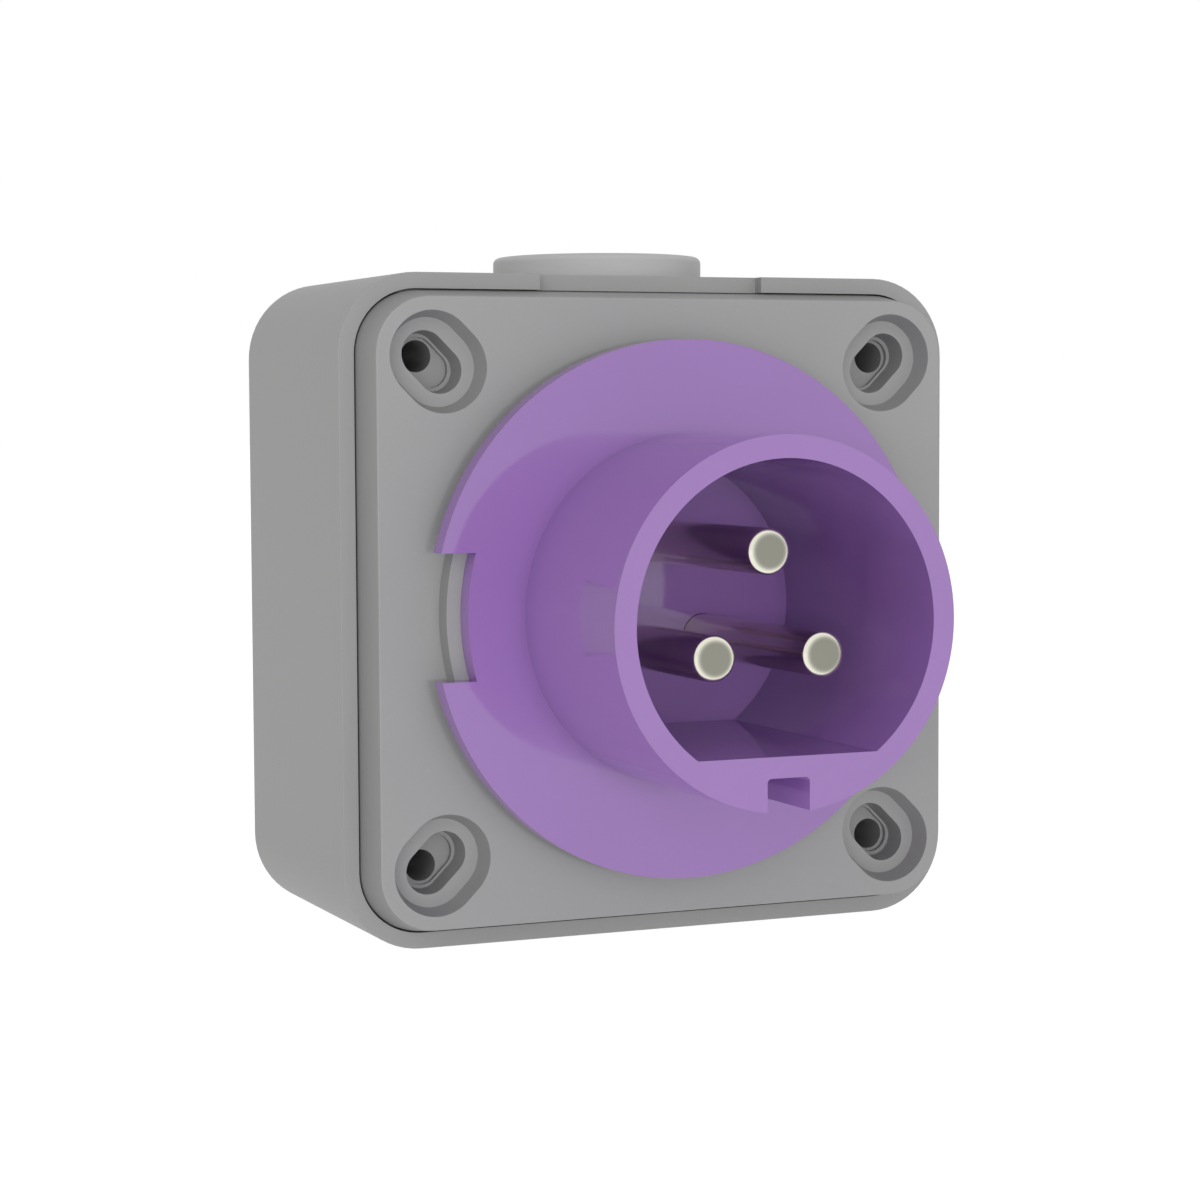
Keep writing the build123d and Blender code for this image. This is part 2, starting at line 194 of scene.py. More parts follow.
class PinSizes(bpy.types.PropertyGroup):
    radius: length("Radius", "Radius of a pin", 3.0)
    circle: length("Circle", "Radius of the circle that the pins stand on", 9.0)
    tip_edge: length("Tip edge", "Width of the tip's rounding", 1.50)
    tip_flatness: share("Tip flatness", "Depth of the tip's rounding as a share of its width", 0.45)
    seat_step: length("Seat step", "How much thicker the pin is in the carrier", 0.3)
    seat_drop: length("Seat drop", "How far the thicker part lies below the socket's floor", 1.0)
    fit: length("Fit", "Clearance of the pin in the carrier", 0.05)
    shoulder_radius: length("Shoulder radius", "Radius of the shoulder in the carrier", 4.6)
    shoulder_length: length("Shoulder length", "Length of the shoulder", 3.0)
    barrel_radius: length("Barrel radius", "Radius of the terminal barrel", 3.9)
    wire_radius: length("Wire bore radius", "Radius of the wire bore", 2.2)
    wire_depth: length("Wire bore depth", "Depth of the wire bore", 11.0)
    screw_radius: length("Screw hole radius", "Radius of the clamp screw's hole", 1.6)
    screw_setback: length("Screw setback", "Distance of the screw from the barrel's end", 4.5)
    soft_edge: length("Soft edge", "Rounding of the other edges", 0.12)


class PlugSizes(bpy.types.PropertyGroup):
    head_radius: length("Head radius", "Radius of the plug's head", 15.0)
    edge_radius: length("Edge radius", "Rounding of the head's edge", 0.9)
    shank_radius: length("Shank radius", "Outer radius of the thread", 12.3)
    shank_wall: length("Shank wall", "Wall of the hollow shank", 2.2)
    thread_depth: length("Thread depth", "Depth of the thread", 0.85)
    pitch: length("Pitch", "Pitch of the thread", 1.5)
    slot_length: length("Slot length", "Length of the coin slot", 18.0)
    slot_width: length("Slot width", "Width of the coin slot", 2.2)
    slot_depth: length("Slot depth", "Depth of the coin slot", 1.7)
    soft_edge: length("Soft edge", "Rounding of the other edges", 0.2)


class Finishes(bpy.types.PropertyGroup):
    box_grey: colour("Box", "Grey of the box", (0.334, 0.334, 0.332))
    cover_grey: colour("Cover", "Grey of the cover", (0.336, 0.336, 0.334))
    plug_grey: colour("Plug", "Grey of the entry plug", (0.452, 0.452, 0.450))
    violet: colour("Violet", "Violet of the inlet", (0.289, 0.143, 0.432))
    clamp_grey: colour("Clamp", "Dark grey of the hidden mouldings", (0.070, 0.070, 0.073))
    rubber: colour("Rubber", "Black of the seals", (0.018, 0.018, 0.018))
    nickel: colour("Nickel", "Tint of the nickel plate", (0.800, 0.790, 0.670))
    zinc: colour("Zinc", "Tint of the zinc-plated screws", (0.560, 0.570, 0.580))
    violet_roughness: share("Violet roughness", "Roughness of the violet moulding", 0.05)
    grey_roughness: share("Grey roughness", "Roughness of the grey mouldings", 0.42)
    # Painted shade: the next two levels darken the sideways-facing walls of the box and the cover.
    box_painted_wall_shade: share("Box wall level", "Brightness of the box's walls beside its rim", 0.88)
    cover_painted_wall_shade: share("Cover wall level", "Brightness of the cover's walls beside its face",
                            0.80)
    # Painted shade: this level darkens the pins' flat tips.
    tip_painted_shade: share("Tip level", "Brightness of the pins' flat tips beside their sides", 0.36)


class StageSettings(bpy.types.PropertyGroup):
    camera_place: bpy.props.FloatVectorProperty(
        name="Camera", description="Where the camera stands", size=3, subtype="XYZ", unit="LENGTH",
        default=(-0.16301, -0.40286, 0.02686))
    camera_turn: bpy.props.FloatVectorProperty(
        name="Camera turn", description="Pitch, roll and heading", size=3, subtype="EULER",
        default=tuple(math.radians(a) for a in (86.219, 0.284, -23.250)))
    lens: bpy.props.FloatProperty(name="Lens", description="Focal length in millimetres",
                                  default=85.22, min=1.0)
    ambient: strength("Ambient", "Strength of the white room", 0.59)
    key_power: strength("Key lamp", "Power of the lamp at front left", 3.6, "POWER")
    front_power: strength("Front lamp", "Power of the small lamp straight in front", 4.6, "POWER")
    wide_power: strength("Wide lamp", "Power of the large lamp above the front", 0.3, "POWER")
    low_power: strength("Low lamp", "Power of the low strip at front left", 3.3, "POWER")
    top_power: strength("Top lamp", "Power of the lamp overhead", 0.7, "POWER")
    floor_albedo: share("Floor albedo", "Brightness of the floor's surface", 0.85)
    floor_share: share("Floor glow share", "How much of the seen floor is self-lit", 0.80)
    floor_fill: share("Floor fill", "How much of the floor is self-lit as a source of light", 0.35)
    floor_glow: strength("Floor glow", "Strength of the self-lit part", 1.2)
    floor_reach: length("Floor reach", "Half the width of the floor", 6000.0)


GROUPS = {
    "inlet_box_sizes": BoxSizes,
    "inlet_cover_sizes": CoverSizes,
    "inlet_body_sizes": InletSizes,
    "inlet_pin_sizes": PinSizes,
    "inlet_plug_sizes": PlugSizes,
    "inlet_finishes": Finishes,
    "inlet_stage": StageSettings,
}


# Shader graphs

class Signal:
    """One output socket of a shader graph, with Python's arithmetic."""

    def __init__(self, graph, socket):
        self.graph = graph
        self.socket = socket

    def _maths(self, operation, *values):
        return self.graph.add("ShaderNodeMath", {"operation": operation},
                              dict(enumerate(values)))

    def __add__(self, other):
        return self._maths("ADD", self, other)

    def __radd__(self, other):
        return self._maths("ADD", other, self)

    def __sub__(self, other):
        return self._maths("SUBTRACT", self, other)

    def __rsub__(self, other):
        return self._maths("SUBTRACT", other, self)

    def __mul__(self, other):
        return self._maths("MULTIPLY", self, other)

    def __rmul__(self, other):
        return self._maths("MULTIPLY", other, self)

    def abs(self):
        return self._maths("ABSOLUTE", self)

    def sine(self):
        return self._maths("SINE", self)

    def most(self, other):
        return self._maths("MAXIMUM", self, other)

    def step(self, low, high):
        """0 below low and 1 above high, with a smooth rise between."""
        return self.graph.add("ShaderNodeMapRange", {"interpolation_type": "SMOOTHSTEP"},
                              {"Value": self, "From Min": low, "From Max": high})


class Graph:
    """The nodes of a material or a world that end in one shader."""

    def __init__(self, owner, shader):
        owner.use_nodes = True
        self.owner = owner
        self.tree = owner.node_tree
        self.shader = self.tree.nodes[shader]

    def add(self, kind, settings, values, output=0):
        """Adds a node, sets it up, fills or links its sockets and returns one of its outputs."""
        node = self.tree.nodes.new(kind)
        for key, value in settings.items():
            setattr(node, key, value)
        for key, value in values.items():
            self.feed(node.inputs[key], value)
        return Signal(self, node.outputs[output])

    def feed(self, socket, value):
        if isinstance(value, Signal):
            self.tree.links.new(value.socket, socket)
        elif socket.type == "RGBA":
            socket.default_value = (*value, 1.0)
        else:
            socket.default_value = value

    def set(self, **values):
        """Feeds sockets of the shader, with each name's spaces written as underscores."""
        for name, value in values.items():
            self.feed(self.shader.inputs[name.replace("_", " ")], value)
        return self.owner

    def seen(self):
        """1 where the camera or a reflection looks, and 0 for what only gives light."""
        camera = self.add("ShaderNodeLightPath", {}, {}, "Is Camera Ray")
        glossy = self.add("ShaderNodeLightPath", {}, {}, "Is Glossy Ray")
        return camera.most(glossy)


class Finish(Graph):
    """A procedural finish on Object coordinates. Its scales count features in a metre."""

    def __init__(self, name):
        super().__init__(bpy.data.materials.new(name), "Principled BSDF")
        self.place = self.add("ShaderNodeTexCoord", {}, {}, "Object")

    def noise(self, scale, detail=3.0, roughness=0.5, vector=None):
        return self.add("ShaderNodeTexNoise", {}, {
            "Vector": vector or self.place, "Scale": scale, "Detail": detail,
            "Roughness": roughness})

    def mix(self, factor, first, second, blend="MIX"):
        """Mixes two colours. The node's colours are inputs 6 and 7 and output 2."""
        return self.add("ShaderNodeMix", {"data_type": "RGBA", "blend_type": blend},
                        {0: factor, 6: first, 7: second}, 2)

    def stretched(self, scale):
        return self.add("ShaderNodeMapping", {}, {"Vector": self.place, "Scale": scale})

    def part(self, vector, axis):
        """One coordinate of a vector: 0 is X, 1 is Y and 2 is Z."""
        return self.add("ShaderNodeSeparateXYZ", {}, {"Vector": vector}, axis)

    def bump(self, height, distance, strength=1.0):
        return self.add("ShaderNodeBump", {}, {"Height": height, "Distance": distance,
                                               "Strength": strength})


def shade(tint, amount):
    return tuple(min(1.0, channel * amount) for channel in tint)


def moulded_grey(name, tint, roughness, painted_wall_shade):
    """Satin polyamide with a fine grain, faint clouding and painted shade that makes the walls
    darker than the faces.
    """
    g = Finish(name)
    # Painted shade: wall is 1 on faces that turn sideways from the front, and the tone is
    # multiplied there by the wall level.
    facing = g.part(g.add("ShaderNodeNewGeometry", {}, {}, "Normal"), 1).abs()
    wall = 1.0 - facing.step(0.25, 0.85)
    cloud = g.noise(38.0, 4.0, 0.55)
    speck = g.noise(1900.0, 2.0, 0.6)
    grain = g.noise(5200.0, 2.0, 0.5)
    tone = g.mix(cloud, shade(tint, 0.955), shade(tint, 1.045))
    tone = g.mix(speck.step(0.62, 0.78) * 0.35, tone, shade(tint, 1.16))
    tone = g.mix(wall, tone, (painted_wall_shade,) * 3, "MULTIPLY")
    normal = g.bump(grain + 0.35 * speck, 0.00002, 0.55)
    return g.set(Base_Color=tone, Roughness=roughness + 0.10 * (cloud - 0.5) + 0.08 * speck,
                 Normal=normal, IOR=1.5, Specular_IOR_Level=0.3)


def moulded_violet(name, tint, roughness):
    """Semi-gloss violet polyamide with slight orange peel and faint flow marks."""
    g = Finish(name)
    cloud = g.noise(45.0, 3.0, 0.5)
    flow = g.noise(1.0, 4.0, 0.55, g.stretched((260.0, 40.0, 260.0)))
    peel = g.noise(420.0, 2.0, 0.45)
    tone = g.mix(cloud, shade(tint, 0.955), shade(tint, 1.045))
    tone = g.mix(flow.step(0.55, 0.8) * 0.25, tone, shade(tint, 1.10))
    normal = g.bump(peel, 0.00001, 0.15)
    return g.set(Base_Color=tone, Roughness=roughness + 0.03 * (cloud - 0.5) + 0.02 * flow,
                 Normal=normal, IOR=1.5, Specular_IOR_Level=1.0)


def filled_polyamide(name, tint):
    """Matt glass-filled polyamide with short light fibres at its skin."""
    g = Finish(name)
    fibre = g.noise(1.0, 2.0, 0.6, g.stretched((5200.0, 1300.0, 5200.0)))
    cloud = g.noise(90.0)
    tone = g.mix(cloud, shade(tint, 0.85), shade(tint, 1.2))
    tone = g.mix(fibre.step(0.60, 0.75) * 0.5, tone, shade(tint, 2.2))
    return g.set(Base_Color=tone, Roughness=0.52 + 0.15 * fibre, Normal=g.bump(fibre, 0.00002, 0.6))


def seal_rubber(name, tint):
    """Matt rubber with a bloom of light powder."""
    g = Finish(name)
    bloom = g.noise(160.0, 4.0, 0.6)
    grain = g.noise(3800.0)
    tone = g.mix(bloom.step(0.45, 0.8), tint, shade(tint, 2.6))
    return g.set(Base_Color=tone, Roughness=0.78 + 0.15 * (bloom - 0.5),
                 Normal=g.bump(grain, 0.00002))


def nickel_plate(name, tint, painted_tip_shade):
    """Bright nickel over turned brass: fine rings, soft clouding and a rougher flat tip with
    painted shade.

    The painted shade darkens the flat tip for the dim reflection that it shows, and fades out over
    the first fifth of a millimetre behind the tip."""
    g = Finish(name)
    along = g.part(g.place, 1)
    # Painted shade: body is 0 on the flat tip and 1 behind it, and the tip's colour is scaled down
    # by the tip level below.
    body = (along - PIN_LOW.y).step(0.00001, 0.00022)
    turning = (along * 26000.0).sine() * 0.5 + 0.5
    scratch = g.noise(1.0, 3.0, 0.6, g.stretched((900.0, 5200.0, 900.0)))
    cloud = g.noise(210.0, 3.0, 0.5)
    tone = g.mix(cloud, shade(tint, 0.94), shade(tint, 1.05))
    tone = g.mix(body, shade(tint, painted_tip_shade), tone)
    rough = 0.14 + 0.10 * scratch * cloud + 0.15 * (1.0 - body)
    return g.set(Base_Color=tone, Metallic=1.0, Roughness=rough,
                 Normal=g.bump(0.5 * turning + scratch, 0.000004, 0.5))


def zinc_plate(name, tint):
    """Zinc-plated steel with dull crystals and a slightly yellow cast in patches."""
    g = Finish(name)
    crystal = g.add("ShaderNodeTexVoronoi", {}, {"Vector": g.place, "Scale": 1500.0}, "Color")
    patch = g.noise(300.0, 4.0, 0.6)
    tone = g.mix(patch.step(0.45, 0.75), tint, (tint[0], tint[1] * 0.97, tint[2] * 0.82))
    tone = g.mix(0.12, tone, crystal)
    return g.set(Base_Color=tone, Metallic=1.0, Roughness=0.26 + 0.18 * patch,
                 Normal=g.bump(patch, 0.00001, 0.4))


MATERIALS = {}


def make_materials():
    f = bpy.context.scene.inlet_finishes
    MATERIALS.update(
        box_grey=moulded_grey("box_grey", tuple(f.box_grey), f.grey_roughness, f.box_painted_wall_shade),
        cover_grey=moulded_grey("cover_grey", tuple(f.cover_grey), f.grey_roughness,
                                f.cover_painted_wall_shade),
        plug_grey=moulded_grey("plug_grey", tuple(f.plug_grey), f.grey_roughness, 1.0),
        violet_plastic=moulded_violet("violet_plastic", tuple(f.violet), f.violet_roughness),
        clamp_grey=filled_polyamide("clamp_grey", tuple(f.clamp_grey)),
        seal_black=seal_rubber("seal_black", tuple(f.rubber)),
        nickel_plate=nickel_plate("nickel_plate", tuple(f.nickel), f.tip_painted_shade),
        screw_steel=zinc_plate("screw_steel", tuple(f.zinc)),
    )


def dress_node(node, slot):
    """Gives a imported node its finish."""
    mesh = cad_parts[node].data
    mesh.materials.clear()
    mesh.materials.append(MATERIALS[slot])


# Mesh tools. A depth is a Y coordinate: the wall is at 0 and the viewer's side is negative.

FACE_ON = Matrix.Rotation(math.radians(90), 4, "X")


def pull(bm, face, way):
    """Extrudes a face along a vector and returns the far face."""
    made = bmesh.ops.extrude_face_region(bm, geom=[face])
    verts = [item for item in made["geom"] if isinstance(item, bmesh.types.BMVert)]
    bmesh.ops.translate(bm, verts=verts, vec=way)
    return next(item for item in made["geom"] if isinstance(item, bmesh.types.BMFace))


def bar(bm, radius, near, far, segments, x=0.0, z=0.0):
    """A round bar along the depth."""
    made = bmesh.ops.create_circle(bm, cap_ends=True, segments=segments, radius=radius,
                                   matrix=Matrix.Translation((x, near, z)) @ FACE_ON)
    return pull(bm, made["verts"][0].link_faces[0], (0.0, far - near, 0.0))


def bars(bm, places, radius, near, far, segments):
    """Like bars at several places."""
    for x, z in places:
        bar(bm, radius, near, far, segments, x, z)


def upright(bm, radius, y, low, high):
    """A round bar along the vertical axis of the cable entry."""
    made = bmesh.ops.create_circle(bm, cap_ends=True, segments=ENTRY_STEPS, radius=radius,
                                   matrix=Matrix.Translation((0.0, y, low)))
    return pull(bm, made["verts"][0].link_faces[0], (0.0, 0.0, high - low))


def block(bm, low, high):
    """A block between two corners."""
    low, high = Vector(low), Vector(high)
    size = high - low
    bmesh.ops.create_cube(bm, size=1.0, matrix=Matrix.Translation((low + high) / 2)
                          @ Matrix.Diagonal((*size, 1.0)))


def tile(bm, half, radius, near, far):
    """A square block with rounded corners along the depth; it returns its far face."""
    before = set(bm.faces)
    made = bmesh.ops.create_grid(bm, x_segments=1, y_segments=1, size=half,
                                 matrix=Matrix.Translation((0.0, near, 0.0)) @ FACE_ON)
    bmesh.ops.bevel(bm, geom=made["verts"], affect="VERTICES", offset=radius,
                    segments=CORNER_STEPS, profile=0.5, material=-1)
    face = max(set(bm.faces) - before, key=lambda item: item.calc_area())
    return pull(bm, face, (0.0, far - near, 0.0))


def draw_in(bm, face, half, radius, amount):
    """Offsets a rounded square inwards by scaling each corner's arc about its own centre."""
    kept = (radius - amount) / radius
    for side_x, side_z in CORNERS:
        corner = Vector((side_x * (half - radius), face.verts[0].co.y, side_z * (half - radius)))
        arc = [v for v in face.verts if v.co.x * side_x > 0 and v.co.z * side_z > 0]
        bmesh.ops.scale(bm, verts=arc, vec=(kept, 1.0, kept), space=Matrix.Translation(-corner))


def oblong(bm, radius, half, side_x, side_z, place, near, far, draft=0.0):
    """A slot-shaped block in one corner that points to the cover's middle and may narrow."""
    turn = Matrix.Rotation(math.radians(-45.0 * side_x * side_z), 4, "Y")
    at = Matrix.Translation((side_x * place, near, side_z * place)) @ turn
    half_step = Matrix.Rotation(math.pi / POST_STEPS, 4, "Y")
    made = bmesh.ops.create_circle(bm, cap_ends=True, segments=POST_STEPS, radius=radius,
                                   matrix=at @ half_step @ FACE_ON)
    local = at.inverted()
    for side in (-1, 1):
        end = [v for v in made["verts"] if (local @ v.co).x * side > 0]
        bmesh.ops.translate(bm, verts=end, vec=turn.to_3x3() @ Vector((side * half, 0.0, 0.0)))
    last = pull(bm, made["verts"][0].link_faces[0], (0.0, far - near, 0.0))
    kept = (radius - draft) / radius
    for side in (-1, 1):
        end = [v for v in last.verts if (local @ v.co).x * side > 0]
        centre = at @ Vector((side * half, far - near, 0.0))
        bmesh.ops.scale(bm, verts=end, vec=(kept, 1.0, kept),
                        space=Matrix.Translation(-centre))


def lathe(bm, outline, steps, upright_at=None):
    """Turns an outline of (radius, place) about the inlet's axis, or about an upright axis."""
    if upright_at is None:
        points = [(radius, place, 0.0) for radius, place in outline]
        centre, axis = Vector(), (0.0, 1.0, 0.0)
    else:
        points = [(radius, upright_at, place) for radius, place in outline]
        centre, axis = Vector((0.0, upright_at, 0.0)), (0.0, 0.0, 1.0)
    verts = [bm.verts.new(point) for point in points]
    edges = [bm.edges.new(pair) for pair in zip(verts, verts[1:])]
    bmesh.ops.spin(bm, geom=verts + edges, cent=centre, axis=axis, angle=2 * math.pi, steps=steps,
                   use_merge=True)


def to_object(bm, name):
    """Turns a bmesh into a linked object with its faces outwards."""
    bmesh.ops.remove_doubles(bm, verts=bm.verts, dist=WELD)
    bmesh.ops.recalc_face_normals(bm, faces=bm.faces)
    mesh = bpy.data.meshes.new(name)
    bm.to_mesh(mesh)
    bm.free()
    obj = bpy.data.objects.new(name, mesh)
    bpy.context.scene.collection.objects.link(obj)
    return obj


def carve(target, build, operation="DIFFERENCE"):
    """Cuts, or joins, the shape that build makes, and stops if nothing changed."""
    bm = bmesh.new()
    build(bm)
    tool = to_object(bm, "Tool")
    change = target.modifiers.new("Change", "BOOLEAN")
    change.operation = operation
    change.solver = "EXACT"
    change.object = tool
    graph = bpy.context.evaluated_depsgraph_get()
    mesh = bpy.data.meshes.new_from_object(target.evaluated_get(graph))
    target.modifiers.remove(change)
    old = target.data
    if not mesh.polygons or len(mesh.vertices) == len(old.vertices):
        raise RuntimeError(f"a {operation.lower()} on {target.name} changed nothing")
    target.data = mesh
    bpy.data.meshes.remove(old)
    bpy.data.objects.remove(tool)


def finish_piece(obj, node, slot, edge, special=(), segments=3):
    """Rounds the sharp edges, the special ones by their own width, and takes its node's place."""
    broad = max([edge] + [width for width, _ in special])
    bm = bmesh.new()
    bm.from_mesh(obj.data)
    bmesh.ops.remove_doubles(bm, verts=bm.verts, dist=CUT_WELD)
    bmesh.ops.dissolve_degenerate(bm, edges=bm.edges, dist=CUT_WELD)
    bmesh.ops.recalc_face_normals(bm, faces=bm.faces)
    weight = bm.edges.layers.float.new("bevel_weight_edge")
    for item in bm.edges:
        if item.calc_face_angle(0.0) > SHARP:
            item[weight] = next((width for width, fits in special if fits(item)), edge) / broad
    bm.to_mesh(obj.data)
    bm.free()
    obj.data.shade_smooth()
    obj.data.materials.clear()
    obj.data.materials.append(MATERIALS[slot])
    bevel = obj.modifiers.new("Soft edges", "BEVEL")
    bevel.width = broad
    bevel.segments = segments
    bevel.limit_method = "WEIGHT"
    bevel.harden_normals = True
    bevel.miter_outer = "MITER_ARC"
    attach(obj, BODY)
    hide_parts(node)


def at_depth(item, depth):
    return all(abs(v.co.y - depth) < SAME for v in item.verts)


def inset(item, half, radius):
    """How far an edge's middle lies inside the border of a square with rounded corners."""
    middle = (item.verts[0].co + item.verts[1].co) / 2
    x, z = abs(middle.x) - half + radius, abs(middle.z) - half + radius
    return radius - math.hypot(max(x, 0.0), max(z, 0.0)) - min(max(x, z), 0.0)


def reach(item):
    """Distance of an edge's middle from the inlet's axis."""
    middle = (item.verts[0].co + item.verts[1].co) / 2
    return math.hypot(middle.x, middle.z)


# Operators

class InletOperator:
    """What the operators share: they need the finishes first."""

    bl_options = {"REGISTER", "UNDO"}

    def execute(self, context):
        if not MATERIALS:
            raise RuntimeError("make the finishes first")
        self.make(context.scene)
        return {"FINISHED"}


class WALLINLET_OT_finishes(bpy.types.Operator):
    """Makes the procedural finishes of every piece"""

    bl_idname = "wall_inlet.finishes"
    bl_label = "Finishes"

    def execute(self, context):
        make_materials()
        return {"FINISHED"}


class WALLINLET_OT_box(InletOperator, bpy.types.Operator):
    """Models the back box with its rim, ledge, posts, ribs and cable entry"""

    bl_idname = "wall_inlet.back_box"
    bl_label = "Back Box"

    def make(self, scene):
        s = scene.inlet_box_sizes
        cover = scene.inlet_cover_sizes
        rim, half, top = BOX_LOW.y, BOX_HIGH.x, BOX_HIGH.z
        rim_half = half - s.rim
        ledge = rim + s.ledge_drop
        under = ledge + s.ledge_thickness
        back = -s.back
        post_end = rim - cover.stand + cover.seat_depth + cover.cup_floor + s.post_gap
        web_end = ledge + s.ledge_thickness / 2
        entry = (PLUG_LOW.y + PLUG_HIGH.y) / 2

        bm = bmesh.new()
        tile(bm, half, s.corner_radius, rim, 0.0)
        box = to_object(bm, "back_box_shell")
        inner = s.corner_radius - s.wall
        carve(box, lambda t: tile(t, half - s.wall, inner, under, back))
        carve(box, lambda t: tile(t, rim_half - s.ledge, s.corner_radius - s.rim - s.ledge,
                                  ledge - PAST, under + PAST))
        carve(box, lambda t: tile(t, rim_half, s.corner_radius - s.rim, rim - PAST, ledge))
        posts = [(x * s.post_place, z * s.post_place) for x, z in CORNERS]

        def webs(t):
            thin, wall = s.web / 2, half - s.wall / 2
            for (x, z), (px, pz) in zip(CORNERS, posts):
                spans = sorted((px, x * wall)), sorted((pz, z * wall))
                block(t, (spans[0][0], web_end, pz - thin), (spans[0][1], back / 2, pz + thin))
                block(t, (px - thin, web_end, spans[1][0]), (px + thin, back / 2, spans[1][1]))

        def rib(t, offset, level):
            long, thin = half - s.wall / 2, s.rib / 2
            low, high = (-long, offset - thin), (long, offset + thin)
            if not level:
                low, high = low[::-1], high[::-1]
            block(t, (low[0], back - s.rib_height, low[1]), (high[0], back / 2, high[1]))

        carve(box, lambda t: bars(t, posts, s.post_radius, post_end, back / 2, POST_STEPS), "UNION")
        carve(box, webs, "UNION")
        for offset in (-s.rib_place, s.rib_place):
            carve(box, lambda t: rib(t, offset, True), "UNION")
            carve(box, lambda t: rib(t, offset, False), "UNION")
        inner_end = top - s.entry_length
        carve(box, lambda t: upright(t, s.boss_radius, entry, inner_end, top - s.wall / 2), "UNION")
        carve(box, lambda t: upright(t, s.entry_radius, entry, inner_end - PAST, top + PAST))
        carve(box, lambda t: upright(t, s.seal_radius, entry, top - s.seal_depth, top + PAST))
        notch = s.notch_width / 2
        carve(box, lambda t: block(t, (-notch, rim - PAST, rim_half - PAST),
                                   (notch, rim + s.notch_depth, half + PAST)))
        carve(box, lambda t: bars(t, posts, s.hole_radius, post_end - PAST, PAST,
                                  WALL_HOLE_STEPS))

        def outer_edge(e):
            return at_depth(e, rim) and inset(e, half, s.corner_radius) < s.rim / 2

        finish_piece(box, "back_box", "box_grey", s.soft_edge, [(s.rim_edge, outer_edge)])


class WALLINLET_OT_cover(InletOperator, bpy.types.Operator):
    """Models the cover with its drafted edge, platform and stepped screw recesses"""

    bl_idname = "wall_inlet.front_cover"
    bl_label = "Front Cover"

    def make(self, scene):
        s = scene.inlet_cover_sizes
        half, rim, platform = COVER_HIGH.x, BOX_LOW.y, COVER_LOW.y
        face = rim - s.stand
        skirt = rim + s.overlap
        inside = face + s.face

        bm = bmesh.new()
        rear = tile(bm, half, s.corner_radius, rim, skirt)
        base = next(f for f in bm.faces if f is not rear and len(f.verts) == len(rear.verts))
        front = pull(bm, base, (0.0, face - rim, 0.0))
        bmesh.ops.delete(bm, geom=[base], context="FACES_ONLY")
        draw_in(bm, front, half, s.corner_radius, s.draft)
        cover = to_object(bm, "front_cover_moulding")
        carve(cover, lambda t: tile(t, half - s.wall, s.corner_radius - s.wall, inside,
                                    skirt + PAST))
        carve(cover, lambda t: bar(t, s.platform_radius, platform, inside - SUNK, COLLAR_STEPS),
              "UNION")

        def each_corner(radius, half_length, near, far, draft=0.0):
            def build(t):
                for x, z in CORNERS:
                    oblong(t, radius, half_length, x, z, s.recess_place, near, far, draft)
            return build

        def drafted(radius, half_length, top, bottom, draft):
            slope = draft / (bottom - top)
            above = PAST / 2
            return each_corner(radius + above * slope, half_length, face + top - above,
                               face + bottom, draft + above * slope)

        cup_back = face + s.seat_depth + s.cup_floor
        carve(cover, each_corner(s.recess_radius + s.cup_wall, s.recess_half, face + s.face / 2,
                                 face + s.recess_depth + s.cup_wall), "UNION")
        carve(cover, each_corner(s.seat_radius + s.cup_wall, s.seat_half,
                                 face + s.recess_depth + s.cup_wall / 2, cup_back), "UNION")
        carve(cover, drafted(s.recess_radius, s.recess_half, 0.0, s.recess_depth, s.recess_draft))
        carve(cover, drafted(s.seat_radius, s.seat_half, s.recess_depth, s.seat_depth,
                             s.seat_draft))
        carve(cover, each_corner(s.slot_radius, s.slot_half, face + s.seat_depth - PAST / 2,
                                 cup_back + PAST))
        carve(cover, lambda t: bar(t, s.clamp_radius, face, skirt + PAST, COVER_STEPS))
        carve(cover, lambda t: bar(t, s.opening_radius, platform - PAST, skirt + PAST,
                                   COVER_STEPS))

        def outer_edge(e):
            border = half - s.draft, s.corner_radius - s.draft
            return at_depth(e, face) and inset(e, *border) < s.edge_radius / 2

        def recess_rim(e):
            return at_depth(e, face) and reach(e) > s.platform_radius + NEAR

        finish_piece(cover, "front_cover", "cover_grey", s.soft_edge,
                     [(s.edge_radius, outer_edge), (s.recess_edge, recess_rim)], segments=5)


